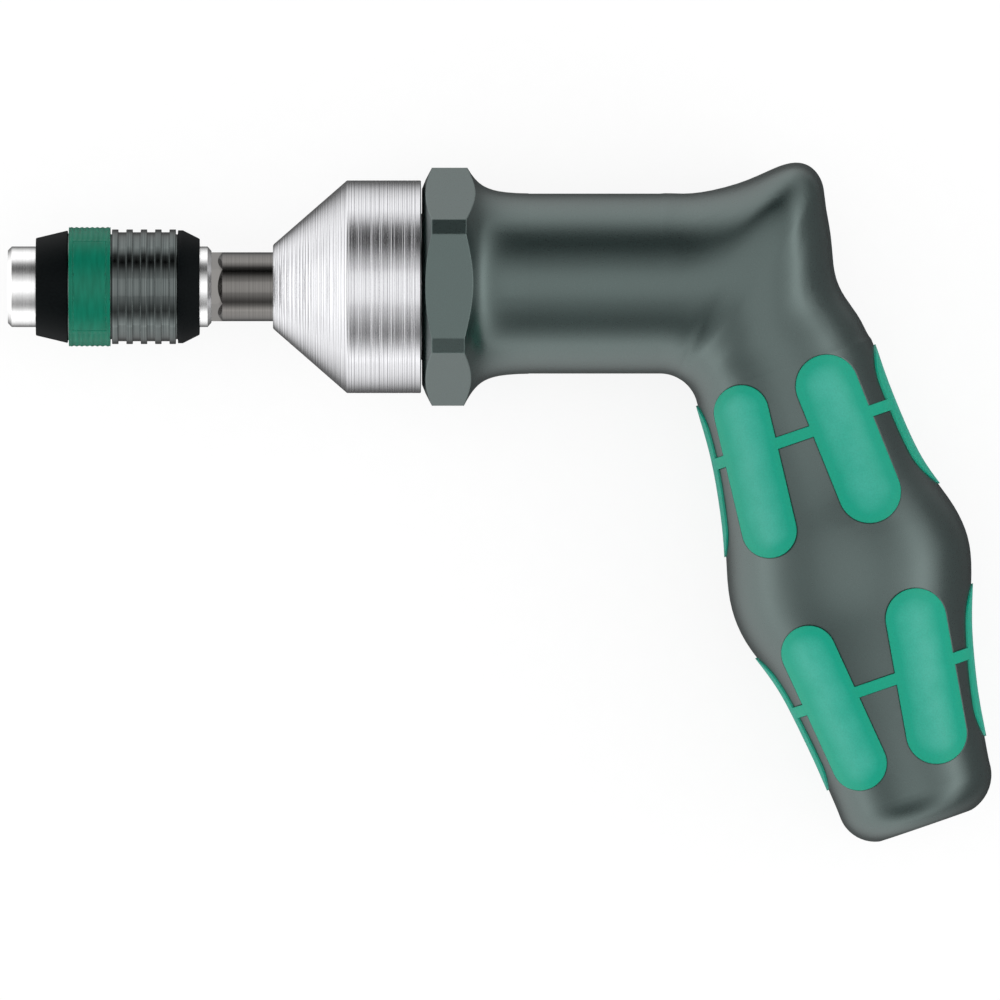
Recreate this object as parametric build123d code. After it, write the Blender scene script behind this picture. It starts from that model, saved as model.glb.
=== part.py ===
"""Pistol-grip torque screwdriver with a quick-change chuck for 6.35 mm hex bits.

The tool lies on its side. X runs along the drive axis from the mouth of the chuck (x = 0)
towards the handle, Y points from the grip up to the barrel, Z points out of the side of the tool.
The lower flat of the hex collar (-Z) is the face that it lies on.
"""
import os
from math import copysign, cos, hypot, pi, radians, sin, tan

from build123d import *

os.makedirs("parts", exist_ok=True)

# Fits, mm
RUNNING = 0.05          # radial gap of a turning or sliding fit
LOOSE = 0.1             # gap beside keys, balls and end faces that pass each other
SPLIT = 0.15            # seen seam between two outer pieces

# Bit, chuck body and its locking balls
BIT_FLATS = 6.35        # width across flats of the bits
BIT_DEPTH = 17.0
CHUCK_R = 6.35
CHUCK_LENGTH = 32.05
KEY_HOLE = 4.6          # hole for the adjusting key, right through chuck and shaft
BALL_D = 4.0
BALL_X = 9.5
BALL_REACH = 0.6        # how far a locked ball stands into the bit socket
RELEASE_CONE = 12.5     # degrees, cone in the release ring that presses the balls inwards
RELEASE_TRAVEL = 3.0

# Release ring and the knurled-looking outer sleeve
RING_FRONT = 6.2
RING_REAR = 28.2
RING_R = 7.85
RING_BORE = 7.3
SNAP_X = 15.6
SNAP_THICK = 0.8
SPRING_END = 24.0
STOP_THICK = 2.0
CHUCK_WIRE = 0.7

SLEEVE_R = 9.03
RIB_COUNT = 5
RIB_WIDTH = 1.0
RIB_DEPTH = 0.44
RIBS_FRONT = 16.4
RIBS_REAR = 26.45
COLLAR_FRONT = 4.4      # front edge of the black cone in front of the coloured ring
COLOUR_FRONT = 9.6
COLOUR_R = 9.41
COLOUR_WALL = 1.0
CONE_REAR = 30.2        # rear edge of the black cone behind the ribs

# Output shaft
SHAFT_R = 5.43
SHAFT_HEX_REAR = 33.07
FLANGE_R = 8.6
FLANGE_THICK = 2.5
STUB_R = 6.0
STUB_LENGTH = 4.0

# Nose housing
NOSE_FRONT = 41.75
NOSE_EDGE = 53.4        # where the cone meets the cylinder
NOSE_REAR = 65.05
NOSE_FRONT_R = 6.6
NOSE_R = 16.75
BUSH_R = 7.0
BUSH_FRONT = 44.0

# Thrust bearing in front of the shaft flange
BEARING_X = 52.0
WASHER_THICK = 0.8
THRUST_BALL_D = 2.0
THRUST_BALLS = 10
THRUST_RING_R = 7.25    # radius of the ring of balls

# Clutch: tube, toothed cams, spring and setting screw
TUBE_FRONT = 56.0
TUBE_REAR = 112.0
TUBE_R = 11.5
TUBE_BORE = 9.5
SPLINES = 6
SPLINE_WIDTH = 2.6
SPLINE_DEPTH = 0.7
KEYS = 3
KEY_WIDTH = 3.0
KEY_DEPTH = 1.0
CAM_TEETH = 8
CAM_R = 9.2
CAM_BASE = 2.0
CAM_LIFT = 2.0          # height of a tooth, and the stroke of the sliding cam
CAM_WALL = 5.0          # degrees taken by the steep side of a tooth
SLIDER_REAR = 68.0
SPRING_REAR = 98.0
SPRING_WIRE = 2.6
SPRING_TURNS = 7
SPIGOT_LENGTH = 2.0
SEAT_THICK = 4.0
SETTING_TRAVEL = 4.0    # how far the setting screw can drive the spring seat
SCREW_R = 4.0
SCREW_HEAD_R = 6.5
SCREW_HEAD_THICK = 3.4
SCREW_SOCKET = 4.05
JOURNAL_R = 2.5
PLUG_THICK = 4.0

# Hex collar of the handle
COLLAR_X = 65.2
COLLAR_PROUD = 0.15     # how far its flats stand outside the nose housing
CORNERS_PROUD = 1.99    # the same for its cut-off corners
COLLAR_REAR = 71.8      # where the flare down to the barrel starts
COLLAR_END = 82.0       # where the flare ends, a hair outside the barrel

# Handle: barrel, bend with the hump, grip, all sizes of its cross sections
BARREL_D = 28.35
BARREL_LIFT = 0.5       # height of the barrel axis over the drive axis
CORNER_X = 102.7        # centre of the bend between barrel and grip
CORNER_R = 6.0          # inner radius of the bend
GRIP_TILT = 19.0        # degrees between the grip and the square to the barrel
BASE_ROUND = 5.5

# Bend between them: angle of the section over +X, how far its outside stands out, half width,
# squareness of its outer half (2 is an ellipse)
BEND = [(86.5, 0.04, 14.18, 2.0), (82, 0.45, 14.2, 2.0), (74, 2.3, 14.2, 2.1), (66, 7.0, 14.3, 2.4),
        (58, 11.45, 14.45, 2.7), (52, 7.85, 14.55, 2.5), (44, 3.2, 14.6, 2.25), (35, 0.1, 14.6, 2.15)]
# Grip: distance from the bend, shift of its front and of its back, half width
GRIP = [(0, 0.0, 0.85, 14.4), (10, -0.6, 1.05, 14.2), (20, -2.3, 2.0, 15.1), (27, -4.15, 4.0, 16.35),
        (33, -5.45, 5.15, 16.85), (39, -4.95, 4.1, 16.5), (47, -2.5, 1.15, 15.0), (57, -1.0, -1.4, 13.5),
        (66, -0.2, -2.8, 12.6), (75.4, 0.3, -4.0, 12.1)]
INNER_POWER = 2.1       # squareness of the inner half and of the grip
BEND_SECTIONS = 12
GRIP_SECTIONS = 16

# Soft zones moulded into the grip: each side pad is a slot between two round ends
PAD_PROUD = 0.3
PAD_DEPTH = 0.9
BAND_WIDTH = 1.8
# The pad near the front of the grip, then the one near its back: (distance along the grip,
# distance back from the front or back edge) of both ends, then the radius of the ends
UPPER_SIDE_PADS = [(4.3, 6.0, 23.3, 4.1, 4.3), (4.75, -8.25, 22.6, -7.35, 4.95)]
LOWER_SIDE_PADS = [(43.5, 3.7, 62.5, 5.6, 4.3), (43.9, -6.95, 62.0, -9.75, 4.8)]
# (start, end along the grip), half width: pads on the front and on the back of the grip
UPPER_MIDDLE_PADS = (1.0, 25.0, 4.4, 6.0)
LOWER_MIDDLE_PADS = (41.6, 65.0, 4.2, 5.2)
UPPER_BAND = 10.7
LOWER_BAND = 51.8

AXIS = Axis.X
bend_centre = Vector(CORNER_X, BARREL_LIFT - BARREL_D / 2 - CORNER_R, 0)
down_grip = Vector(sin(radians(GRIP_TILT)), -cos(radians(GRIP_TILT)), 0)
across_grip = Vector(cos(radians(GRIP_TILT)), sin(radians(GRIP_TILT)), 0)
grip_side = Plane(origin=bend_centre, x_dir=down_grip, z_dir=(0, 0, 1))


def turned(*outline):
    """A turned piece: the outline, given as (x, radius), spun about the drive axis."""
    return revolve(make_face(Polyline(*outline, close=True)), AXIS)


def ring(front, rear, outside, inside=0.0):
    return turned((front, inside), (rear, inside), (rear, outside), (front, outside))


def hex_bar(front, rear, flats, turn=0):
    """Hex bar along X; with turn 0 two of its flats face +Z and -Z."""
    outline = Plane.YZ.offset(front) * Rot(0, 0, turn) * RegularPolygon(flats / 2, 6, major_radius=False)
    return extrude(outline, rear - front)


def keys(front, rear, inside, outside, width, count):
    """Straight keys along X, evenly spaced, the first one pointing to +Z."""
    key = Pos((front + rear) / 2, 0, (inside + outside) / 2) * Box(rear - front, width, outside - inside)
    return [Rot(360 * k / count, 0, 0) * key for k in range(count)]


def coil(front, rear, radius, wire, turns):
    """Compression spring with its two ends ground flat."""
    pitch = (rear - front - wire) / turns
    spine = Helix(pitch, pitch * (turns + 1), radius, center=(0, 0, front + wire / 2 - pitch / 2))
    start = Plane(origin=spine @ 0, z_dir=spine % 0)
    wound = Rot(0, 90, 0) * sweep(start * Circle(wire / 2), path=spine, is_frenet=True)
    return wound & Pos((front + rear) / 2, 0, 0) * Box(rear - front, 3 * radius, 3 * radius)


def cam_teeth(low, floor, facing):
    """Ring of saw teeth on a floor at x = low; facing +1 cuts teeth that rise to +X, -1 the rest.

    The long side of a tooth falls by the lift, the steep side climbs back within CAM_WALL.
    """
    pitch = 360 / CAM_TEETH
    ramp = pitch - CAM_WALL
    steps = 5
    stations = [(ramp * k / steps, CAM_LIFT * (1 - k / steps)) for k in range(steps + 1)]
    stations.append((pitch, CAM_LIFT))
    sections = []
    for angle, height in stations:
        plane = Plane(origin=(0, 0, 0), x_dir=(1, 0, 0),
                      z_dir=(0, -sin(radians(angle)), cos(radians(angle))))
        edge = low + height
        a, b = sorted((floor, edge))
        sections.append(plane * Polyline((a, STUB_R - 1), (b, STUB_R - 1), (b, CAM_R + 1),
                                         (a, CAM_R + 1), close=True))
    tooth = Solid.make_loft([s.wire() for s in sections], ruled=True)
    teeth = [Rot(pitch * k, 0, 0) * tooth for k in range(CAM_TEETH)]
    inside = STUB_R if facing > 0 else STUB_R + 2 * LOOSE
    front, rear = sorted((floor, low + CAM_LIFT if facing > 0 else low))
    return (teeth[0] + teeth[1:]) & ring(front, rear, CAM_R, inside)


def section(origin, angle, inner, outer, half, power, grow):
    """Upper half of the outline across the handle, closed by a line in the middle plane."""
    count = 10
    inner, outer, half = inner - grow, outer + grow, half + grow
    middle, reach = (inner + outer) / 2, (outer - inner) / 2
    out = Vector(cos(radians(angle)), sin(radians(angle)), 0)
    points = []
    for k in range(count + 1):
        t = radians(180 * k / count)
        square = power if cos(t) > 0 else min(power, INNER_POWER)
        along = copysign(abs(cos(t)) ** (2 / square), cos(t))
        side = abs(sin(t)) ** (2 / square) if 0 < k < count else 0
        points.append(origin + out * (middle + reach * along) + Vector(0, 0, half * side))
    even = [k / count for k in range(count + 1)]
    ends = [Vector(0, 0, pi * half), Vector(0, 0, -pi * half)]
    skin = Edge.make_spline(points, tangents=ends, parameters=even, scale=False)
    return Wire([skin, Edge.make_line(points[-1], points[0])])


def smooth(rows, place):
    """Smooth curve through the rows of a table: its first column is the place along the curve."""
    rows = sorted(rows)
    k = max(i for i in range(len(rows) - 1) if i == 0 or rows[i][0] <= place)
    before, start, end, after = rows[max(k - 1, 0)], rows[k], rows[k + 1], rows[min(k + 2, len(rows) - 1)]
    span = end[0] - start[0]
    t = (place - start[0]) / span
    values = []
    for column in range(1, len(start)):
        leave = (end[column] - before[column]) / (end[0] - before[0]) * span
        arrive = (after[column] - start[column]) / (after[0] - start[0]) * span
        values.append(start[column] * (1 - t) ** 2 * (1 + 2 * t) + end[column] * t * t * (3 - 2 * t)
                      + leave * t * (1 - t) ** 2 - arrive * t * t * (1 - t))
    return values


def grip_outline(along, grow=0.0):
    front, back, half = smooth(GRIP, along)
    return section(bend_centre + down_grip * along, GRIP_TILT, CORNER_R + front,
                   CORNER_R + BARREL_D + back, half, INNER_POWER, grow)


def handle_form(grow=0.0):
    """Upper half of barrel, bend and grip, grown or shrunk by the given distance.

    The grip ends where the rounding of its base starts; grip_base closes it.
    """
    stations = BEND + [(90, 0.0, BARREL_D / 2, 2.0), (GRIP_TILT, GRIP[0][2], GRIP[0][3], INNER_POWER)]
    outlines = []
    for k in range(BEND_SECTIONS + 1):
        angle = 90 - (90 - GRIP_TILT) * k / BEND_SECTIONS
        rise, half, power = smooth(stations, angle)
        outlines.append(section(bend_centre, angle, CORNER_R, CORNER_R + BARREL_D + rise, half, power, grow))
    barrel = extrude(Face(outlines[0]), CORNER_X - COLLAR_X - 3, dir=(-1, 0, 0))
    length = GRIP[-1][0] - BASE_ROUND
    grip = [grip_outline(length * k / GRIP_SECTIONS, grow) for k in range(GRIP_SECTIONS + 1)]
    return barrel + Solid.make_loft(outlines) + Solid.make_loft(grip)


def grip_base():
    """Upper half of the grip's rounded end: sections that shrink along a quarter circle."""
    length = GRIP[-1][0] - BASE_ROUND
    outlines = []
    for degrees in (0, 20, 40, 60, 78):
        t = radians(degrees)
        outlines.append(grip_outline(length + BASE_ROUND * sin(t), BASE_ROUND * (cos(t) - 1)))
    return Solid.make_loft(outlines)


def both_halves(upper):
    return upper + upper.mirror(Plane.XY)


def pads(side_pads, middle_pads, band):
    """Everything that one ring of soft pads may fill: side pads, front and back pad, band."""
    reach = 2 * BARREL_D
    bodies = []
    for edge, (s0, u0, s1, u1, r) in zip((CORNER_R, CORNER_R + BARREL_D), side_pads):
        slot = SlotCenterToCenter(hypot(s1 - s0, u1 - u0), 2 * r)
        turn = Vector(1, 0, 0).get_signed_angle(Vector(s1 - s0, u1 - u0, 0), Vector(0, 0, 1))
        place = grip_side * Pos((s0 + s1) / 2, edge + (u0 + u1) / 2) * Rot(0, 0, turn)
        bodies.append(extrude(place * slot, reach, both=True))
    start, end, front_half, back_half = middle_pads
    middle = bend_centre + across_grip * (CORNER_R + BARREL_D / 2) + down_grip * (start + end) / 2
    for outwards, half in ((across_grip * -1, front_half), (across_grip, back_half)):
        plane = Plane(origin=middle, x_dir=down_grip, z_dir=outwards)
        bodies.append(extrude(plane * SlotOverall(end - start, 2 * half), reach))
    bodies.append(grip_side * Pos(band, CORNER_R + BARREL_D / 2, 0) * Box(BAND_WIDTH, reach, reach))
    return bodies[0] + bodies[1:]


pieces = {}

# Handle: one black moulding. The collar is a hex with cut corners, chamfered in front and
# flared down to the barrel behind.
flats_r, corner_r, barrel_r = NOSE_R + COLLAR_PROUD, NOSE_R + CORNERS_PROUD, BARREL_D / 2
corner_edge = hypot(corner_r, 1.6)
flare = Spline((COLLAR_REAR, corner_edge + BARREL_LIFT), (COLLAR_REAR + 1.3, flats_r + 0.2),
               (COLLAR_REAR + 2.6, barrel_r + 1.55), (COLLAR_REAR + 4.2, barrel_r + 0.72),
               (COLLAR_REAR + 6.4, barrel_r + 0.25), (COLLAR_END - 1.4, barrel_r + 0.07),
               (COLLAR_END, barrel_r + 0.04))
outline = Polyline(flare @ 1, (COLLAR_END, 0), (COLLAR_REAR, 0), flare @ 0)
collar = Pos(0, BARREL_LIFT, 0) * revolve(make_face([flare, *outline.edges()]), AXIS)
collar += turned((COLLAR_X, 0), (COLLAR_X, flats_r - 1.5), (COLLAR_X + 0.6, flats_r),
                 (COLLAR_X + 1.6, corner_edge), (COLLAR_REAR, corner_edge), (COLLAR_REAR, 0))
collar = collar & hex_bar(COLLAR_X, COLLAR_END, 2 * flats_r) & hex_bar(COLLAR_X, COLLAR_END, 2 * corner_r, 30)
form = both_halves(handle_form() + grip_base())
skin = both_halves(handle_form(PAD_PROUD)) - both_halves(handle_form(-PAD_DEPTH))
pieces["soft_zone_upper"] = skin & pads(UPPER_SIDE_PADS, UPPER_MIDDLE_PADS, UPPER_BAND)
pieces["soft_zone_lower"] = skin & pads(LOWER_SIDE_PADS, LOWER_MIDDLE_PADS, LOWER_BAND)

bore = ring(COLLAR_X, TUBE_REAR + LOOSE, TUBE_R)
bore += keys(COLLAR_X, TUBE_REAR - 1, TUBE_R - 1, TUBE_R + SPLINE_DEPTH, SPLINE_WIDTH, SPLINES)
pieces["handle_shell"] = (form + collar) - bore - pieces["soft_zone_upper"] - pieces["soft_zone_lower"]

# Nose housing: turned aluminium cone and cylinder over the bush, the bearing and the tube
bearing_depth = 2 * WASHER_THICK + THRUST_BALL_D
flange_front = BEARING_X + bearing_depth
bearing_room = CAM_R
pieces["nose_housing"] = turned(
    (NOSE_FRONT, SHAFT_R + 2 * LOOSE), (NOSE_FRONT, NOSE_FRONT_R), (NOSE_EDGE, NOSE_R), (NOSE_REAR, NOSE_R),
    (NOSE_REAR, TUBE_R), (TUBE_FRONT, TUBE_R), (TUBE_FRONT, bearing_room), (BEARING_X, bearing_room),
    (BEARING_X, BUSH_R), (BUSH_FRONT, BUSH_R), (BUSH_FRONT, SHAFT_R + 2 * LOOSE))
pieces["front_bush"] = ring(BUSH_FRONT, BEARING_X, BUSH_R, SHAFT_R + RUNNING)

# Thrust bearing: two washers, a cage and a ring of balls
ball_x = BEARING_X + WASHER_THICK + THRUST_BALL_D / 2
pieces["thrust_washer_front"] = ring(BEARING_X, BEARING_X + WASHER_THICK, bearing_room - LOOSE / 2,
                                     SHAFT_R + 2 * LOOSE)
pieces["thrust_washer_rear"] = ring(flange_front - WASHER_THICK, flange_front, FLANGE_R, SHAFT_R)
cage = ring(ball_x - 0.6, ball_x + 0.6, THRUST_RING_R + 1.4, THRUST_RING_R - 1.4)
balls, pockets = [], []
for k in range(THRUST_BALLS):
    spot = Rot(360 * k / THRUST_BALLS, 0, 0) * Pos(ball_x, 0, THRUST_RING_R)
    balls.append(spot * Sphere(THRUST_BALL_D / 2 - 0.02))
    pockets.append(spot * Rot(0, 90, 0) * Cylinder(THRUST_BALL_D / 2 + RUNNING, 2))
pieces["thrust_cage"] = cage - pockets
pieces["thrust_balls"] = Compound(balls)

# Output shaft: hex end for the chuck, round shank, flange and stub for the driven cam
hex_flats = 2 * SHAFT_R * cos(radians(30))
shank_start = SHAFT_HEX_REAR + SHAFT_R - hex_flats / 2
flange_rear = flange_front + FLANGE_THICK
stub_rear = flange_rear + STUB_LENGTH
hex_front = CHUCK_LENGTH - 8
shaft = turned((SHAFT_HEX_REAR, 0), (SHAFT_HEX_REAR, hex_flats / 2), (shank_start, SHAFT_R),
               (flange_front, SHAFT_R), (flange_front, FLANGE_R), (flange_rear, FLANGE_R),
               (flange_rear, STUB_R), (stub_rear, STUB_R), (stub_rear, 0))
shaft += hex_bar(hex_front, shank_start, hex_flats)
pieces["output_shaft"] = shaft - ring(hex_front, stub_rear, KEY_HOLE / 2)

# Clutch tube: keyed to the handle outside, with grooves for the sliding pieces inside
tube = ring(TUBE_FRONT, TUBE_REAR, TUBE_R, TUBE_BORE)
tube += keys(COLLAR_X + 2, TUBE_REAR - 1, TUBE_R - 1, TUBE_R + SPLINE_DEPTH, SPLINE_WIDTH, SPLINES)
groove_front = stub_rear + LOOSE
tube -= keys(groove_front, TUBE_REAR, TUBE_BORE - 1, TUBE_BORE + KEY_DEPTH + LOOSE,
             KEY_WIDTH + 2 * RUNNING, KEYS)
pieces["clutch_tube"] = tube

# Cams: the driven one sits on the stub, the driving one slides in the tube under the spring
valley = flange_rear + CAM_BASE
pieces["driven_cam"] = cam_teeth(valley, flange_rear, 1)
slide_r = TUBE_BORE - RUNNING
slider_front = stub_rear + 0.6
slider = cam_teeth(valley + LOOSE, slider_front + 1, -1)
slider += ring(slider_front, SLIDER_REAR, slide_r, KEY_HOLE / 2 + 0.7)
spigot_r = TUBE_BORE - 0.75 - SPRING_WIRE - 0.25
slider += ring(SLIDER_REAR - 1, SLIDER_REAR + SPIGOT_LENGTH, spigot_r, KEY_HOLE / 2 + 0.7)
slider += keys(slider_front + 0.4, SLIDER_REAR - 0.4, slide_r - 1, TUBE_BORE + KEY_DEPTH, KEY_WIDTH, KEYS)
pieces["driving_cam"] = slider

# Spring, its keyed seat with the thread, the setting screw and the plug behind it
spring_r = TUBE_BORE - 0.75 - SPRING_WIRE / 2
pieces["main_spring"] = coil(SLIDER_REAR, SPRING_REAR, spring_r, SPRING_WIRE, SPRING_TURNS)
seat_rear = SPRING_REAR + SEAT_THICK
seat = ring(SPRING_REAR, seat_rear, slide_r) + ring(SPRING_REAR - SPIGOT_LENGTH, SPRING_REAR + 1, spigot_r)
seat += keys(SPRING_REAR + 0.4, seat_rear - 0.4, slide_r - 1, TUBE_BORE + KEY_DEPTH, KEY_WIDTH, KEYS)
pieces["spring_seat"] = seat - ring(SPRING_REAR - SPIGOT_LENGTH, seat_rear, SCREW_R + RUNNING)
plug_front = TUBE_REAR - PLUG_THICK
head_front = plug_front - LOOSE - SCREW_HEAD_THICK
screw_front = SPRING_REAR - SETTING_TRAVEL - SPIGOT_LENGTH
screw = turned((screw_front, 0), (screw_front, SCREW_R), (head_front, SCREW_R), (head_front, SCREW_HEAD_R),
               (plug_front - LOOSE, SCREW_HEAD_R), (plug_front - LOOSE, JOURNAL_R),
               (TUBE_REAR - 0.5, JOURNAL_R), (TUBE_REAR - 0.5, 0))
pieces["torque_screw"] = screw - hex_bar(screw_front, screw_front + 5, SCREW_SOCKET)
pieces["rear_plug"] = ring(plug_front, TUBE_REAR, TUBE_BORE, JOURNAL_R + RUNNING)

# Chuck body: hex socket in front, two ball holes, groove for the snap ring, hex socket behind
web_rear = hex_front
ball_r = BALL_D / 2
ball_centre = BIT_FLATS / 2 + RUNNING / 2 - BALL_REACH + ball_r
body = turned((0, 0), (0, CHUCK_R - 0.6), (0.6, CHUCK_R), (CHUCK_LENGTH - 0.6, CHUCK_R),
              (CHUCK_LENGTH, CHUCK_R - 0.7), (CHUCK_LENGTH, 0))
body -= hex_bar(0, BIT_DEPTH, BIT_FLATS + RUNNING)
body -= turned((0, 0), (0, BIT_FLATS / 2 + 0.9), (0.9, BIT_FLATS / 2), (0.9, 0))
body -= ring(BIT_DEPTH - 1, web_rear + 1, KEY_HOLE / 2)
body -= hex_bar(web_rear, CHUCK_LENGTH, hex_flats)
body -= ring(SNAP_X, SNAP_X + SNAP_THICK, CHUCK_R + 1, CHUCK_R - 0.45)
for name, side in (("locking_ball_upper", 1), ("locking_ball_lower", -1)):
    centre = Pos(BALL_X, 0, side * ball_centre)
    pieces[name] = centre * Sphere(ball_r)
    body -= centre * Sphere(ball_r + RUNNING / 2)
    body -= centre * Pos(0, 0, side * ball_r) * Cylinder(ball_r + RUNNING / 2, BALL_D)
pieces["chuck_body"] = body

snap = ring(SNAP_X, SNAP_X + SNAP_THICK, RING_BORE - LOOSE, CHUCK_R - 0.45)
pieces["chuck_snap_ring"] = snap - Pos(SNAP_X, CHUCK_R, 0) * Box(4, 4, 3)

# Release ring: its cone holds the balls in; slid towards the mouth it lets them out
slope = tan(radians(RELEASE_CONE))
cone_r = ball_centre + ball_r / cos(radians(RELEASE_CONE)) + RUNNING / 2
ring_inside = CHUCK_R + RUNNING
cone_front = BALL_X - (cone_r - ring_inside) / slope
cone_rear = BALL_X + (RING_BORE - cone_r) / slope
lip_rear = SNAP_X - LOOSE
pieces["release_ring"] = turned(
    (RING_FRONT, ring_inside), (RING_FRONT, RING_R), (RING_REAR, RING_R), (RING_REAR, RING_BORE),
    (lip_rear, RING_BORE), (lip_rear, ring_inside), (lip_rear - 0.9, ring_inside),
    (lip_rear - 0.9, RING_BORE), (cone_rear, RING_BORE), (cone_front, ring_inside))
pieces["release_ring_stop"] = ring(SPRING_END, SPRING_END + STOP_THICK, RING_BORE, ring_inside)
chuck_coil_r = (CHUCK_R + RING_BORE) / 2
pieces["chuck_spring"] = coil(SNAP_X + SNAP_THICK, SPRING_END, chuck_coil_r, CHUCK_WIRE, 5)

# Outer sleeve of the chuck: ribbed middle, black cones at both ends, coloured ring
sleeve_inside = RING_R + RUNNING
colour_inside = COLOUR_R - COLOUR_WALL
colour_rear = RIBS_FRONT - 0.25
notch_r = SLEEVE_R - 0.75
sleeve_front = COLLAR_FRONT + 3.6
sleeve_rear = RIBS_REAR + 1.55
sleeve = ring(sleeve_front, sleeve_rear, notch_r, sleeve_inside)
sleeve += ring(sleeve_front, colour_rear, colour_inside, sleeve_inside)
sleeve += ring(RIBS_FRONT, RIBS_REAR, SLEEVE_R - RIB_DEPTH, sleeve_inside)
rib_pitch = (RIBS_REAR - RIBS_FRONT - RIB_WIDTH) / (RIB_COUNT - 1)
for k in range(RIB_COUNT):
    x = RIBS_FRONT + rib_pitch * k
    sleeve += ring(x, x + RIB_WIDTH, SLEEVE_R, sleeve_inside)
pieces["ribbed_sleeve"] = sleeve
front_rear = COLOUR_FRONT - SPLIT
lip = COLLAR_FRONT + 1.6
pieces["front_collar"] = turned(
    (COLLAR_FRONT, ring_inside + 0.02), (COLLAR_FRONT, SLEEVE_R - 1.36), (front_rear, SLEEVE_R - 0.18),
    (front_rear, colour_inside), (sleeve_front, colour_inside), (sleeve_front, sleeve_inside),
    (lip, sleeve_inside), (lip, ring_inside + 0.02))
pieces["colour_ring"] = ring(COLOUR_FRONT, colour_rear, COLOUR_R, colour_inside)
cone_start = RIBS_REAR + 0.32
pieces["rear_collar"] = turned(
    (cone_start, notch_r), (cone_start, SLEEVE_R - 0.13), (cone_start + 0.78, SLEEVE_R - 0.13),
    (CONE_REAR, SLEEVE_R - 1.47), (CONE_REAR, ring_inside + 0.02), (RING_REAR + 0.3, ring_inside + 0.02),
    (RING_REAR + 0.3, sleeve_inside), (sleeve_rear, sleeve_inside), (sleeve_rear, notch_r))

for name, shape in pieces.items():
    export_step(shape, f"parts/{name}.step")
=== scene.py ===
# %% [markdown]
# # A torque screwdriver with a pistol handle
#
# The tool is a black plastic handle with soft green grip zones, a turned aluminium
# nose, a blackened steel shaft and a quick-change bit chuck. Its measured solids
# arrive as a fixed frame, and each step below dresses one of its pieces.

# %% Load the frame
import math

import bpy
import mathutils
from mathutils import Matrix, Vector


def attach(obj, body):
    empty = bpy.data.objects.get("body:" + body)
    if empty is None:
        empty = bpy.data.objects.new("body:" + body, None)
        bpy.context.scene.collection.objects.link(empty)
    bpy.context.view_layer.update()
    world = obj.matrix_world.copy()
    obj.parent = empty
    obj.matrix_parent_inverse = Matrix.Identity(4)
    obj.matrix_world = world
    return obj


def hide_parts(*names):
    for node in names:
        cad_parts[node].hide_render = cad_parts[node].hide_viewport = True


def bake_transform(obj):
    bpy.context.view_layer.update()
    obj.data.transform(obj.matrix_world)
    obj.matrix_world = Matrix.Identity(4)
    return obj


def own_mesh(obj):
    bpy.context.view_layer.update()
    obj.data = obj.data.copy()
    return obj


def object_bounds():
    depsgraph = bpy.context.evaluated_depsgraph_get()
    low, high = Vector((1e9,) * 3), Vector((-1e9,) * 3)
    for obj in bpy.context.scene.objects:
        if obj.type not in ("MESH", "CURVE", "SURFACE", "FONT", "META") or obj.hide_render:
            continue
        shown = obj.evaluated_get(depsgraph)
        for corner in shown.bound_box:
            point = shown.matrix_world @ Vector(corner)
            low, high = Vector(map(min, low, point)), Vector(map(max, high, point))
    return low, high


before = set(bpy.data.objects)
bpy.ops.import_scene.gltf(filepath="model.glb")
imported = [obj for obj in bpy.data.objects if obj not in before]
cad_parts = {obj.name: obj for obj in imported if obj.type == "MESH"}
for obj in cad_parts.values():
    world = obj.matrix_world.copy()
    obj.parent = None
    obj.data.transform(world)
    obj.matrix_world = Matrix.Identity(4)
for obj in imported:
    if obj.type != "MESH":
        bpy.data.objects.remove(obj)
cad_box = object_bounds()
MM = 0.001
print("CAD box in mm:", [[round(v / MM, 2) for v in corner] for corner in cad_box])

# %% [markdown]
# ## The camera
#
# The photograph looks straight down on the tool, which lies on its side. It was
# taken from very far away, because every ring of the chuck is a straight line in
# it. A very long lens at seven metres gives that flat look and still works when
# the camera is moved to another side. The frame is square and 157.5 mm wide.

# %% Set up the camera
PHOTO_WIDTH = 157.52 * MM
LENS, SENSOR = 1600.0, 36.0
MIDDLE_X, MIDDLE_Y = 77.5, -33.59       # the middle of the photograph, in mm on the tool

camera_data = bpy.data.cameras.new("long lens")
camera_data.lens = LENS
camera_data.sensor_width = SENSOR
camera = bpy.data.objects.new("camera", camera_data)
camera.location = (MIDDLE_X * MM, MIDDLE_Y * MM, PHOTO_WIDTH * LENS / SENSOR)
bpy.context.scene.collection.objects.link(camera)
bpy.context.scene.camera = camera
bpy.context.scene.view_settings.view_transform = "Standard"
print("camera height in mm:", round(camera.location.z / MM, 1))

# %% [markdown]
# ## Nodes in one line
#
# Every finish below is built from shader nodes. Adding a node, setting it and
# wiring it takes many lines, so one helper does all three: names in lower case are
# the node's own settings, and names with a capital are its sockets.

# %% A helper that adds and wires a node
def add(tree, kind, **values):
    """A new shader node; a socket given as a value is wired in, anything else is set."""
    made = tree.nodes.new("ShaderNode" + kind)
    for name, value in values.items():
        if name[0].islower():
            setattr(made, name, value)
    for name, value in values.items():
        if name[0].isupper():
            socket = made.inputs[name.replace("_", " ")]
            if isinstance(value, bpy.types.NodeSocket):
                tree.links.new(value, socket)
            else:
                socket.default_value = value
    return made


def ramp(tree, source, *stops):
    """A colour ramp over a value: each stop is (position, (red, green, blue))."""
    made = add(tree, "ValToRGB", Fac=source)
    elements = made.color_ramp.elements
    while len(elements) < len(stops):
        elements.new(0.5)
    for element, (position, colour) in zip(elements, stops):
        element.position = position
        element.color = (*colour, 1.0)
    return made.outputs["Color"]


def grey(value):
    """A colour with the same red, green and blue."""
    return (value, value, value)


print("a node by name, a colour ramp and a grey are ready")

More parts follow.
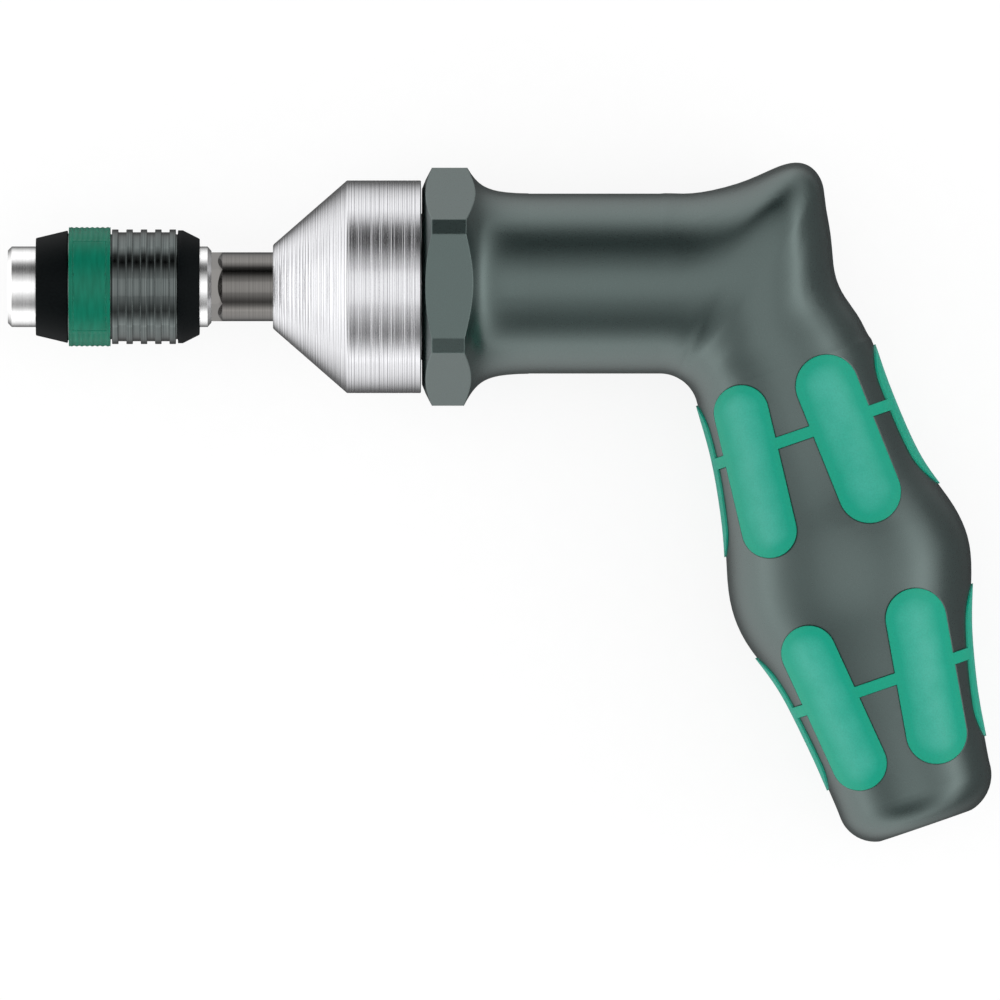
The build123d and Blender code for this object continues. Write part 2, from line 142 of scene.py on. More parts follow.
# %% [markdown]
# Many patterns need a little arithmetic: how far a point lies from a line, or where
# it is along the axis. Math nodes do numbers and Vector Math nodes do points, and
# both are wired the same way.

# %% Helpers for arithmetic
def arithmetic(tree, kind, operation, values):
    """A node of arithmetic; each value is a plain one or another node's outcome."""
    made = add(tree, kind, operation=operation)
    for socket, value in zip(made.inputs, values):
        if isinstance(value, bpy.types.NodeSocket):
            tree.links.new(value, socket)
        else:
            socket.default_value = value
    return made.outputs


def calculate(tree, operation, *values):
    """A number worked out from numbers."""
    return arithmetic(tree, "Math", operation, values)[0]


def vector_step(tree, operation, *values, result="Vector"):
    """A vector worked out from vectors, or a number where result says Value."""
    return arithmetic(tree, "VectorMath", operation, values)[result]


print("numbers and vectors are ready")

# %% [markdown]
# A pattern gives values from 0 to 1. To be of use they are stretched over another
# range, or they say how much of two colours, or of two shaders, is seen.

# %% Helpers for ranges and mixing
def remap(tree, value, low, high, start=0.0, end=1.0):
    """Low where the value is at its start, high where it is at its end."""
    made = add(tree, "MapRange", Value=value, From_Min=start, From_Max=end,
               To_Min=low, To_Max=high)
    return made.outputs["Result"]


def mix(tree, share, first, second, way="MIX"):
    """Two colours mixed by a share, or worked together in another way."""
    made = add(tree, "MixRGB", blend_type=way, Fac=share, Color1=first, Color2=second)
    return made.outputs["Color"]


def mix_shaders(tree, share, first, second):
    """Two shaders mixed by a share."""
    made = add(tree, "MixShader", Fac=share)
    tree.links.new(first, made.inputs[1])
    tree.links.new(second, made.inputs[2])
    return made.outputs[0]


print("ranges and mixing are ready")

# %% [markdown]
# ## The studio
#
# Dark plastic and bright metal show their shape by what they mirror. Read off the
# photograph, the light fades from the roof down to a dark belt on the two long
# sides of the barrel and comes back white near the table. The ends of the tent have
# no dark belt. They grow brighter downwards, until close above the table. So the
# tent has four walls that blend round the corners, each with its own fade, and the
# roof is where they meet. The list below gives each wall its shades from the table
# up: a height of 0 is level with the tool, and 1 is straight above it.
#
# Below the horizon the tent has a floor, which only the tool's gloss sees. What the
# tool mirrors of its table grows darker towards its own shadow, and so the outline
# of the dark handle stays dark in the photograph. So the floor fades from white at
# a flat angle to black straight below, and it is darker behind the grip than before
# it.

# %% The shades of the tent
TENT_TOP = 3.2      # the strength of the world; its colours are the shades' shares of it

WALLS = {
    "far": [(0.0, 1.7), (0.2, 1.05), (0.38, 0.2), (0.6, 0.0),
            (0.74, 0.18), (0.85, 0.65), (0.93, 1.05), (1.0, 1.38)],
    "near": [(0.0, 2.3), (0.24, 1.5), (0.42, 0.7), (0.6, 0.28),
             (0.75, 0.5), (0.87, 0.88), (0.94, 1.12), (1.0, 1.38)],
    "front": [(0.0, 1.6), (0.14, 2.65), (0.28, 2.5), (0.44, 1.9),
              (0.57, 1.3), (0.75, 1.0), (0.94, 1.15), (1.0, 1.38)],
    "rear": [(0.0, 0.6), (0.12, 1.0), (0.28, 2.0), (0.44, 3.0),
             (0.57, 2.5), (0.69, 1.9), (0.87, 1.45), (1.0, 1.38)],
}
FLOOR = [(0.0, 2.1), (0.3, 1.9), (0.5, 1.5), (0.64, 1.1), (0.77, 0.6), (0.87, 0.25), (1.0, 0.08)]
FLOOR_BEFORE, FLOOR_BEHIND = 0.9, 0.2   # shares of the floor's light ahead and behind
BEHIND_X = 0.8                          # a ray that points this far rearwards is behind
for name, fade in WALLS.items():
    print(name, "wall: from", fade[0][1], "at the table to", fade[-1][1], "at the roof")

# %% [markdown]
# The world's own shader paints the tent. It gets the direction that each ray points
# in: the height picks the shade out of each wall's ramp, and the two level parts
# say which long wall and which end are meant and how far the ray is round the
# corner between them. To the camera the world is plain white paper.

# %% Paint the tent
world = bpy.data.worlds.new("light tent")
world.use_nodes = True
world.cycles.sampling_method = "NONE"
bpy.context.scene.world = world
tent = world.node_tree
direction = add(tent, "SeparateXYZ", Vector=add(tent, "TexCoord").outputs["Generated"])
x, y, z = (direction.outputs[axis] for axis in "XYZ")


def by_height(height_of, fade):
    """The shades of a fade, picked by the height that a ray points at."""
    return ramp(tent, height_of, *((height, grey(shade / TENT_TOP)) for height, shade in fade))


walls = {name: by_height(z, fade) for name, fade in WALLS.items()}
long_side = mix(tent, calculate(tent, "GREATER_THAN", y, 0.0), walls["near"], walls["far"])
short_side = mix(tent, calculate(tent, "GREATER_THAN", x, 0.0), walls["front"], walls["rear"])
x_squared, y_squared = calculate(tent, "POWER", x, 2.0), calculate(tent, "POWER", y, 2.0)
level = calculate(tent, "ADD", calculate(tent, "ADD", x_squared, y_squared), 1e-6)
wall_shade = mix(tent, calculate(tent, "DIVIDE", x_squared, level), long_side, short_side)
dimming = remap(tent, x, FLOOR_BEFORE, FLOOR_BEHIND, end=BEHIND_X)
below = by_height(calculate(tent, "MULTIPLY", z, -1.0), FLOOR)
floor_shade = mix(tent, 1.0, below, dimming, "MULTIPLY")
shade = mix(tent, calculate(tent, "LESS_THAN", z, 0.0), wall_shade, floor_shade)

lit = tent.nodes["Background"]
tent.links.new(shade, lit.inputs["Color"])
lit.inputs["Strength"].default_value = TENT_TOP
backdrop = add(tent, "Background", Color=(1, 1, 1, 1), Strength=1.0).outputs[0]
seen = mix_shaders(tent, add(tent, "LightPath").outputs["Is Camera Ray"], lit.outputs[0], backdrop)
tent.links.new(seen, tent.nodes["World Output"].inputs["Surface"])
print("the tent has", len(walls), "walls and a floor, painted by", len(tent.nodes), "nodes")

# %% [markdown]
# A softbox in the roof lends the shadows a direction. A sun would draw them with
# hard edges, and the photograph has none, so the lamp is a large square. It is
# weak, because the tent does most of the work.

# %% Hang the softbox
lamp = bpy.data.lights.new("overhead softbox", "AREA")
lamp.size = 0.75
lamp.energy = 0.62
softbox = bpy.data.objects.new("overhead softbox", lamp)
softbox.location = (0.0775, -0.03, 1.15)
away = softbox.location - mathutils.Vector((MIDDLE_X * MM, MIDDLE_Y * MM, 0.0))
softbox.rotation_euler = away.to_track_quat("Z", "Y").to_euler()
bpy.context.scene.collection.objects.link(softbox)
print("softbox:", round(lamp.size, 2), "m wide,", round(softbox.location.z, 2), "m up,",
      round(lamp.energy, 2), "W")

# %% [markdown]
# The tool lies on a white table. A plain white plane would come out as a grey that
# changes from side to side. So to the camera it is nearly all glowing white paper,
# and the rest is real cloth that keeps the tool's soft shadow. Gloss looks through
# it at the tent's floor.

# %% Lay out the table
TABLE_SHARE = 0.15      # how much of what the camera sees is real cloth
GAP = 0.05              # the table lies this far below the tool, in mm

bpy.ops.mesh.primitive_plane_add(size=4.0, location=(0, 0, cad_box[0].z - GAP * MM))
table = bpy.context.object
table.name = "table"
table.visible_glossy = False
table.visible_transmission = False
cloth = bpy.data.materials.new("white table")
cloth.use_nodes = True
tree = cloth.node_tree
spot = add(tree, "TexCoord").outputs["Object"]
fibre = add(tree, "TexNoise", Vector=spot, Scale=300.0, Detail=3.0).outputs["Fac"]
paper = ramp(tree, fibre, (0.3, grey(0.93)), (0.7, grey(0.97)))
matt = add(tree, "BsdfDiffuse", Color=paper).outputs["BSDF"]
glow = add(tree, "Emission", Color=(1, 1, 1, 1), Strength=1.0).outputs["Emission"]
is_camera = add(tree, "LightPath").outputs["Is Camera Ray"]
seen = mix_shaders(tree, calculate(tree, "MULTIPLY", is_camera, 1 - TABLE_SHARE), matt, glow)
tree.links.new(seen, tree.nodes["Material Output"].inputs["Surface"])
table.data.materials.append(cloth)
print("table at z =", round(table.location.z / MM, 2), "mm")

# %% [markdown]
# ## Starting a finish
#
# A finish starts as one Principled shader. Its plain numbers, such as metal or
# plastic, are set on the shader's own sockets, and the detail comes in through
# colour, roughness and bump. All patterns read object coordinates in metres, so a
# scale of 5000 means about five grains to the millimetre.

# %% Helpers for patterns
finishes = {}


def finish(name, **plain):
    """A new finish: returns its node tree, its shader and the place it is read at."""
    material = bpy.data.materials.new(name.replace("_", " "))
    material.use_nodes = True
    finishes[name] = material
    shader = material.node_tree.nodes["Principled BSDF"]
    for socket, value in plain.items():
        shader.inputs[socket.replace("_", " ")].default_value = value
    place = add(material.node_tree, "TexCoord").outputs["Object"]
    return material.node_tree, shader, place


def along(tree, place, axis="X"):
    """How far a place lies along an axis."""
    return add(tree, "SeparateXYZ", Vector=place).outputs[axis]


def stretched(tree, place, x, y, z):
    """The place with each direction scaled, so that a pattern runs long one way."""
    return add(tree, "Mapping", Vector=place, Scale=(x, y, z)).outputs["Vector"]


def noise(tree, place, scale, detail, **more):
    """A cloudy pattern of values round a half."""
    return add(tree, "TexNoise", Vector=place, Scale=scale, Detail=detail, **more).outputs["Fac"]


print("patterns are ready")

# %% [markdown]
# A finish ends with its wires into the shader. Before that come bumps, which only
# bend the shading, and edges. Handled things are paler on their edges, and that
# paler edge also stands for the line of light that a rounded edge catches, so it is
# partly wear and partly painted highlight. One helper finds the edges: it compares
# the way the surface faces with the way a rounded copy of it would, and the two
# differ only near an edge.

# %% Helpers for relief and edges
# the paler edge made here is partly wear and partly a painted highlight
OPEN, WORN_AND_LIT = 0.995, 0.85    # how well the two agree on open surface, and on a worn edge


def bump(tree, height, depth, strength=1.0, **more):
    """Shading that follows a height, where a height of 1 stands for a depth in mm."""
    made = add(tree, "Bump", Strength=strength, Distance=depth * MM, Height=height, **more)
    return made.outputs["Normal"]


def worn_and_highlit_edge(tree, radius):
    """The way a rounded surface faces, and how worn and highlit it is: 0 on open surface, 1 on an
    edge.
    """
    round_normal = add(tree, "Bevel", samples=6, Radius=radius * MM).outputs["Normal"]
    true_normal = add(tree, "NewGeometry").outputs["Normal"]
    agreement = vector_step(tree, "DOT_PRODUCT", round_normal, true_normal, result="Value")
    return round_normal, remap(tree, agreement, 0.0, 1.0, start=OPEN, end=WORN_AND_LIT)


def complete(tree, shader, **sockets):
    """Wires what was worked out into the shader."""
    for socket, value in sockets.items():
        tree.links.new(value, shader.inputs[socket.replace("_", " ")])
    print(list(finishes)[-1], "has", len(tree.nodes), "nodes")


print("relief and edges are ready")

# %% [markdown]
# ## Black plastic
#
# The handle is glass-filled nylon, moulded in a spark-eroded tool that leaves a
# fine grain. It is a cold black where it mirrors the dark of the tent, and a soft
# grey where it mirrors white. A nearly black base with strong, rough mirroring gives
# both. Two noises make the grain and the slow unevenness of the moulding. The edges
# are painted paler, partly as rubbing and partly as a painted highlight. The flare of
# the collar runs out on the barrel a hair proud of it. No hand feels that as an edge,
# so the edge effect is faded out around it.

# %% Mix the black plastic
FLARE_END = 82.0                # where the flare runs out, in mm along the tool
NO_EDGE, ALL_EDGE = 0.4, 0.8    # the edge effect is off and fully on this far from there

tree, shader, place = finish("black_plastic", IOR=1.6, Specular_IOR_Level=0.86,
                             Specular_Tint=(0.80, 1.0, 0.96, 1.0))
grain = noise(tree, place, 5200.0, 2.0, Roughness=0.6)
cloud = noise(tree, place, 90.0, 3.0)
black = ramp(tree, cloud, (0.3, (0.0020, 0.0062, 0.0060)), (0.7, (0.0030, 0.0084, 0.0080)))
speckle = ramp(tree, grain, (0.35, grey(0.55)), (0.68, grey(1.5)))
grained = mix(tree, 1.0, black, speckle, "MULTIPLY")

around, rubbed_and_highlit = worn_and_highlit_edge(tree, 0.3)
past_flare = calculate(tree, "SUBTRACT", along(tree, place), FLARE_END * MM)
from_flare = calculate(tree, "ABSOLUTE", past_flare)
off_flare = remap(tree, from_flare, 0.0, 1.0, start=NO_EDGE * MM, end=ALL_EDGE * MM)
around = mix(tree, off_flare, add(tree, "NewGeometry").outputs["Normal"], around)
rubbed_and_highlit = calculate(tree, "MULTIPLY", rubbed_and_highlit, off_flare)
# the paler edge colour is partly wear and partly a painted highlight
complete(tree, shader, Base_Color=mix(tree, rubbed_and_highlit, grained, (0.050, 0.070, 0.066, 1)),
         Roughness=remap(tree, grain, 0.24, 0.34),
         Normal=bump(tree, grain, 0.02, 0.5, Normal=around))

# %% [markdown]
# ## Soft green
#
# The grip zones are a soft rubbery plastic moulded over the nylon. Each pad is
# slightly domed, and hands polish its middle smoother. A pale streak down every pad
# is a painted highlight, and the colour is deepest along the rims. So the finish
# needs to know where the middle of a pad is. Each side pad is a slot round a line
# between two points, and the distance to that line, divided by the pad's radius, is
# 0 in the middle and 1 at the rim. The pads on the front and back are measured
# across the width of the tool instead.

# %% Place the pads
GRIP_TILT, BEND_X, BEND_Y = math.radians(19.0), 102.7, -19.675
FRONT_EDGE, BACK_EDGE = 6.0, 34.35      # the grip's front and back, in mm across it
SIDE_PADS = [                           # start down and across, end down and across, radius
    (4.3, FRONT_EDGE + 6.0, 23.3, FRONT_EDGE + 4.1, 4.3),
    (4.75, BACK_EDGE - 8.25, 22.6, BACK_EDGE - 7.35, 4.95),
    (43.5, FRONT_EDGE + 3.7, 62.5, FRONT_EDGE + 5.6, 4.3),
    (43.9, BACK_EDGE - 6.95, 62.0, BACK_EDGE - 9.75, 4.8),
]
END_PAD_HALF = 5.5                      # half the width of the front and back pads


def on_grip(down, across):
    """A point in metres, given by its distances down the grip and across it in mm."""
    x = BEND_X + down * math.sin(GRIP_TILT) + across * math.cos(GRIP_TILT)
    y = BEND_Y - down * math.cos(GRIP_TILT) + across * math.sin(GRIP_TILT)
    return mathutils.Vector((x * MM, y * MM, 0.0))


for start_down, start_across, end_down, end_across, radius in SIDE_PADS:
    reach = on_grip(end_down, end_across) - on_grip(start_down, start_across)
    print("side pad:", round(reach.length / MM + 2 * radius, 1), "by", 2 * radius, "mm")

# %% [markdown]
# The shader finds the nearest pad with vector arithmetic. A point's share of the
# way along a pad's line is held between 0 and 1, the foot is the place on the line
# at that share, and the distance from there is what counts. The least of all the
# distances belongs to the pad that the point is on.

# %% Measure from the middle of a pad
def from_middle(tree, place):
    """0 in the middle of the nearest pad and 1 at its rim."""
    flat_place = vector_step(tree, "MULTIPLY", place, (1, 1, 0))
    nearest = 1.0
    for start_down, start_across, end_down, end_across, radius in SIDE_PADS:
        start = on_grip(start_down, start_across)
        line = on_grip(end_down, end_across) - start
        offset = vector_step(tree, "SUBTRACT", flat_place, start)
        unit = line / line.length_squared
        share = vector_step(tree, "DOT_PRODUCT", offset, unit, result="Value")
        share = calculate(tree, "MINIMUM", calculate(tree, "MAXIMUM", share, 0.0), 1.0)
        foot = add(tree, "VectorMath", operation="SCALE", Vector=line, Scale=share)
        reach = vector_step(tree, "DISTANCE", offset, foot.outputs["Vector"], result="Value")
        reach = calculate(tree, "DIVIDE", reach, radius * MM)
        nearest = calculate(tree, "MINIMUM", reach, nearest)
    sideways = calculate(tree, "ABSOLUTE", along(tree, place, "Z"))
    sideways = calculate(tree, "DIVIDE", sideways, END_PAD_HALF * MM)
    return calculate(tree, "MINIMUM", sideways, nearest)


print("measured from", len(SIDE_PADS), "side pads and the pads on the front and back")

# %% [markdown]
# The dome of a pad is 1 in the middle and falls to 0 at the rim, slowly at first. It
# is used three times: it pales the colour as a painted highlight, it makes the
# surface smoother where hands polish it, and it bends the shading as a real dome
# would.

# %% Mix the soft green
tree, shader, place = finish("green_soft", IOR=1.5, Specular_IOR_Level=0.2, Sheen_Weight=0.03,
                             Sheen_Roughness=0.4, Sheen_Tint=(0.75, 1.0, 0.92, 1.0))
nearest = from_middle(tree, place)
middle = calculate(tree, "SUBTRACT", 1.0, calculate(tree, "MULTIPLY", nearest, nearest))
grain = noise(tree, place, 4200.0, 2.0)
cloud = noise(tree, place, 260.0, 3.0)
painted_highlight_and_polish = calculate(tree, "MULTIPLY", middle, remap(tree, cloud, 0.8, 1.1, start=0.25, end=0.75))
# the pale end of this ramp is a painted highlight down the middle of each pad
green = ramp(tree, painted_highlight_and_polish, (0.0, (0.0004, 0.272, 0.170)), (0.45, (0.0008, 0.272, 0.180)),
             (1.0, (0.036, 0.330, 0.248)))
speckle = ramp(tree, grain, (0.3, grey(0.93)), (0.7, grey(1.06)))
around = worn_and_highlit_edge(tree, 0.2)[0]
dome = bump(tree, middle, 0.25, Normal=around)
complete(tree, shader, Base_Color=mix(tree, 1.0, green, speckle, "MULTIPLY"),
         Roughness=remap(tree, painted_highlight_and_polish, 0.42, 0.3),
         Normal=bump(tree, grain, 0.015, 0.2, Normal=dome))

# %% [markdown]
# ## Hard green
#
# The ring round the chuck is a hard plastic in a deeper green. It is smooth, with
# only the faint flow lines of its moulding running round it. A noise that changes
# much faster along the axis than across it draws such lines. The same noise also
# tints the colour a little, so that colour and relief agree.

# %% Mix the hard green
tree, shader, place = finish("green_plastic", IOR=1.5, Roughness=0.28, Specular_IOR_Level=0.12)
flow = noise(tree, stretched(tree, place, 1800, 250, 250), 1.0, 3.0)
around, rubbed_and_highlit = worn_and_highlit_edge(tree, 0.12)
green = ramp(tree, flow, (0.3, (0.0015, 0.108, 0.064)), (0.7, (0.0025, 0.145, 0.088)))
# the paler rim colour is partly wear and partly a painted edge highlight
complete(tree, shader, Base_Color=mix(tree, rubbed_and_highlit, green, (0.015, 0.19, 0.12, 1)),
         Normal=bump(tree, flow, 0.01, 0.15, Normal=around))

# %% [markdown]
# ## Turned metal
#
# A lathe leaves rings round a piece. They spread a highlight along the axis and
# keep it short round the axis, which is what anisotropy does. The tangent of that
# effect runs round X, the drive axis. Fine rings come from a noise that changes
# along X only. One recipe makes aluminium, steel, bronze, brass and a black coat
# with different numbers.

# %% A recipe for turned metal
def turned_metal(name, dark, light, rough, rings, relief, spread):
    """Metal turned about X: two colours, roughness range, rings to the metre, relief in mm."""
    tree, shader, place = finish(name, Metallic=1.0, Anisotropic=spread, Anisotropic_Rotation=0.25)
    ring_place = calculate(tree, "MULTIPLY", along(tree, place), rings)
    fine = add(tree, "TexNoise", noise_dimensions="1D", W=ring_place, Scale=1.0, Detail=6.0,
               Roughness=0.75).outputs["Fac"]
    stain = noise(tree, place, 160.0, 4.0)
    tone = ramp(tree, fine, (0.38, dark), (0.58, light))
    patch = ramp(tree, stain, (0.3, grey(0.93)), (0.7, grey(1.0)))
    colour = mix(tree, 1.0, tone, patch, "MULTIPLY")
    ring_tangent = add(tree, "Tangent", direction_type="RADIAL", axis="X").outputs["Tangent"]
    complete(tree, shader, Base_Color=colour, Roughness=remap(tree, fine, *rough),
             Normal=bump(tree, fine, relief), Tangent=ring_tangent)
    return tree, shader, place, colour


METALS = {      # dark and light colour, roughness range, rings to the metre, relief in mm, spread
    "aluminium": ((0.37, 0.37, 0.382), (0.60, 0.60, 0.618), (0.16, 0.32), 6000.0, 0.0003, 0.6),
    "bright_steel": (grey(0.67), grey(0.75), (0.22, 0.31), 1500.0, 0.0002, 0.3),
    "plain_steel": (grey(0.42), grey(0.56), (0.22, 0.36), 2400.0, 0.001, 0.4),
    "bronze": ((0.42, 0.25, 0.12), (0.56, 0.36, 0.19), (0.3, 0.42), 2000.0, 0.001, 0.3),
    "brass": ((0.62, 0.45, 0.19), (0.78, 0.59, 0.29), (0.26, 0.38), 2000.0, 0.001, 0.3),
    "black_coated": ((0.047, 0.057, 0.057), (0.108, 0.121, 0.118), (0.08, 0.14), 3200.0,
                     0.0002, 0.5),
}
for name, numbers in METALS.items():
    turned_metal(name, *numbers)

# %% [markdown]
# The shaft is blackened, but the fit of its hex wears the black off again. So its
# steel changes from worn grey to black just behind the hex, with an uneven edge.

# %% Mix the blackened steel
HEX_END = 33.4              # the rear end of the hex, in mm along the tool
FADE, RAGGED = 0.2, 0.5     # how soft and how uneven the edge of the black is, in mm

tree, shader, place, black = turned_metal(
    "black_steel", (0.112, 0.107, 0.102), (0.142, 0.136, 0.130), (0.10, 0.15), 3200.0, 0.0001, 0.4)
ragged = remap(tree, noise(tree, place, 900.0, 4.0), -RAGGED * MM, RAGGED * MM)
behind_hex = remap(tree, calculate(tree, "ADD", along(tree, place), ragged), 0.0, 1.0,
                   start=(HEX_END - FADE) * MM, end=(HEX_END + FADE) * MM)
complete(tree, shader, Base_Color=mix(tree, behind_hex, (0.165, 0.160, 0.154, 1), black))

# %% [markdown]
# ## Matt black
#
# The cones of the chuck are coated with a matt black lacquer that swallows nearly
# all light. A low specular level does that. Only a fine orange-peel relief and paler
# edges give the surface away, and without them it would look like a hole. The paler
# edges are partly rubbing and partly a painted highlight.

# %% Mix the matt black
tree, shader, place = finish("matt_black", IOR=1.45, Specular_IOR_Level=0.045)
peel = noise(tree, place, 2800.0, 3.0)
around, rubbed_and_highlit = worn_and_highlit_edge(tree, 0.15)
tone = ramp(tree, peel, (0.3, (0.0014, 0.0022, 0.0025)), (0.7, (0.0026, 0.0038, 0.0042)))
# the paler edge colour is partly wear and partly a painted highlight
complete(tree, shader, Base_Color=mix(tree, rubbed_and_highlit, tone, (0.014, 0.018, 0.018, 1)),
         Roughness=remap(tree, peel, 0.38, 0.5),
         Normal=bump(tree, peel, 0.008, 0.25, Normal=around))

# %% [markdown]
# ## Spring steel
#
# The springs are drawn wire. Drawing leaves fine streaks, and heat treatment leaves
# a straw to blue-grey tint. One noise carries both: its middle values are straw and
# its high ones blue-grey.

# %% Mix the spring steel
tree, shader, place = finish("spring_steel", Metallic=1.0)
streak = noise(tree, stretched(tree, place, 2500, 900, 900), 1.0, 4.0)
tone = ramp(tree, streak, (0.3, (0.20, 0.19, 0.18)), (0.5, (0.34, 0.32, 0.29)),
            (0.7, (0.42, 0.43, 0.45)))
complete(tree, shader, Base_Color=tone, Roughness=remap(tree, streak, 0.22, 0.38),
         Normal=bump(tree, streak, 0.004, 0.5))
print("all finishes:", sorted(finishes))

# %% [markdown]
# ## Dressing the solids that stay
#
# The handle's shell, its soft zones, the shaft and nearly all the inner pieces have
# the right shape already. Each takes the finish that its own material slot names.
# The loop dresses every solid. Those that are modelled anew below get hidden when
# their piece is handed over.

# %% Dress the solids
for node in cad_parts.values():
    for holder in node.material_slots:
        holder.material = finishes[holder.material.name.split(".")[0]]
print("dressed", len(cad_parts), "solids")

# %% [markdown]
# ## Working by hand
#
# Blender's operators act on whatever is selected, and the loaded solids come in
# selected. So every piece starts with nothing selected, and later steps pick their
# faces or points by place.

# %% Helpers that select
def start_fresh():
    """Leaves edit mode and deselects everything."""
    if bpy.context.object and bpy.context.object.mode != "OBJECT":
        bpy.ops.object.mode_set(mode="OBJECT")
    bpy.ops.object.select_all(action="DESELECT")


def pick(piece, kind, wanted):
    """Opens the piece in edit mode with the faces or points selected that pass the test."""
    bpy.context.view_layer.objects.active = piece
    bpy.ops.object.mode_set(mode="EDIT")
    bpy.ops.mesh.select_mode(type=kind)
    bpy.ops.mesh.select_all(action="DESELECT")
    bpy.ops.object.mode_set(mode="OBJECT")
    parts = piece.data.polygons if kind == "FACE" else piece.data.vertices
    count = 0
    for part in parts:
        part.select = bool(wanted(part))
        count += part.select
    bpy.ops.object.mode_set(mode="EDIT")
    return count


start_fresh()
print("selected now:", len(bpy.context.selected_objects), "objects")

# %% [markdown]
# Most visible pieces of this tool are turned on a lathe, and the spin tool is
# Blender's lathe. A point is drawn out along the outline of the piece, edge by
# edge, and the closed outline is spun once round X, the drive axis. The ends of the
# spin lie on each other, so their points are merged.

# %% A helper that turns
WELD = 0.0005       # points closer than this, in mm, are one point


def turn(name, outline, steps=180):
    """A turned piece: its outline in mm, (x, radius), drawn point by point and spun round X."""
    start_fresh()
    bpy.ops.mesh.primitive_plane_add(size=1 * MM)
    piece = bpy.context.object
    piece.name = piece.data.name = name
    bpy.ops.object.mode_set(mode="EDIT")
    bpy.ops.mesh.select_mode(type="VERT")
    bpy.ops.mesh.select_all(action="SELECT")
    bpy.ops.mesh.merge(type="CENTER")
    x0, r0 = outline[0]
    bpy.ops.transform.translate(value=(x0 * MM, 0, r0 * MM))
    for x1, r1 in [*outline[1:], outline[0]]:
        step = ((x1 - x0) * MM, 0, (r1 - r0) * MM)
        bpy.ops.mesh.extrude_region_move(TRANSFORM_OT_translate={"value": step})
        x0, r0 = x1, r1
    bpy.ops.mesh.select_all(action="SELECT")
    bpy.ops.mesh.remove_doubles(threshold=WELD * MM)
    bpy.ops.mesh.spin(steps=steps, angle=2 * math.pi, center=(0, 0, 0), axis=(1, 0, 0))
    bpy.ops.mesh.select_all(action="SELECT")
    bpy.ops.mesh.remove_doubles(threshold=WELD * MM)
    bpy.ops.mesh.normals_make_consistent(inside=False)
    bpy.ops.object.mode_set(mode="OBJECT")
    print(name, "turned from", len(outline), "points in", steps, "steps")
    return piece


# %% [markdown]
# No real edge is perfectly sharp, and a rounded one catches a line of light. The
# bevel modifier rounds every edge that is sharper than an angle. After that the
# surface is shaded smooth, and only the sharp edges stay crisp.

# %% Helpers that round and smooth
def choose(piece):
    """Selects the piece and nothing else."""
    start_fresh()
    piece.select_set(True)
    bpy.context.view_layer.objects.active = piece


def smooth(piece, angle=30):
    """Smooth shading, except over edges sharper than the angle."""
    choose(piece)
    bpy.ops.object.shade_smooth_by_angle(angle=math.radians(angle))


def round_edges(piece, width, segments=3, angle=30):
    """Rounds every sharp edge by a width in mm, then smooths the shading."""
    choose(piece)
    rounding = piece.modifiers.new("rounding", "BEVEL")
    rounding.width = width * MM
    rounding.segments = segments
    rounding.limit_method = "ANGLE"
    rounding.angle_limit = math.radians(angle)
    bpy.ops.object.modifier_apply(modifier=rounding.name)
    smooth(piece)


print("rounding and smoothing are ready")

# %% [markdown]
# A finished piece gets its material.

# %% Helpers that hand over
def coat(piece, slot_name):
    """The piece gets one finish and no other."""
    start_fresh()
    piece.data.materials.clear()
    piece.data.materials.append(finishes[slot_name])


def hand_over(piece, body, slot_name, *nodes):
    """The finished piece gets its finish, its body and the solids that it stands for."""
    coat(piece, slot_name)
    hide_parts(*nodes)
    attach(piece, body)
    sizes = [round(v / MM, 2) for v in piece.dimensions]
    print(piece.name, "faces", len(piece.data.polygons), "size in mm", sizes)


print("ready to hand over, with", len(finishes), "finishes")

# %% [markdown]
# ## The aluminium nose
#
# The nose is turned from bar: a cone and a cylinder, both left with clear tool
# marks of uneven width. A plain cone would need all of its rings from bump. Here
# the outline itself has a shallow groove at each mark, so the rings also show on
# the edge of the cylinder, and the spin carries each one round. Sines make the
# steps uneven, instead of random numbers, so the marks are the same at every run.

# %% Draw the tool marks
MARK_HALF = 0.045       # half the width of a groove, in mm
PLAIN_END = 0.25        # no groove starts this near an end of the cut, in mm


def tool_marks(x0, r0, x1, r1, depth, first):
    """Points along a straight cut with shallow grooves at uneven steps."""
    length = math.hypot(x1 - x0, r1 - r0)
    dx, dr = (x1 - x0) / length, (r1 - r0) / length
    points, s, k = [], PLAIN_END, first
    while s < length - PLAIN_END:
        d = depth * (0.55 + 0.45 * math.sin(3.7 * k))       # a tenth to all of the depth
        for shift, deep in ((-MARK_HALF, 0.0), (0.0, d), (MARK_HALF, 0.0)):
            t = s + shift
            points.append((x0 + dx * t + dr * deep, r0 + dr * t - dx * deep))
        s += 0.30 + 0.13 * math.sin(2.3 * k) + 0.07 * math.sin(5.9 * k)     # 0.1 to 0.5 mm
        k += 1
    return points


print("grooves on 10 mm of cut:", len(tool_marks(0, 0, 10, 0, 0.03, 1)) // 3)

# %% Turn the nose
NOSE_FRONT, NOSE_EDGE, NOSE_REAR = 41.75, 53.4, 65.05
NOSE_TIP_R, NOSE_R, SHAFT_HOLE = 6.6, 16.75, 5.63

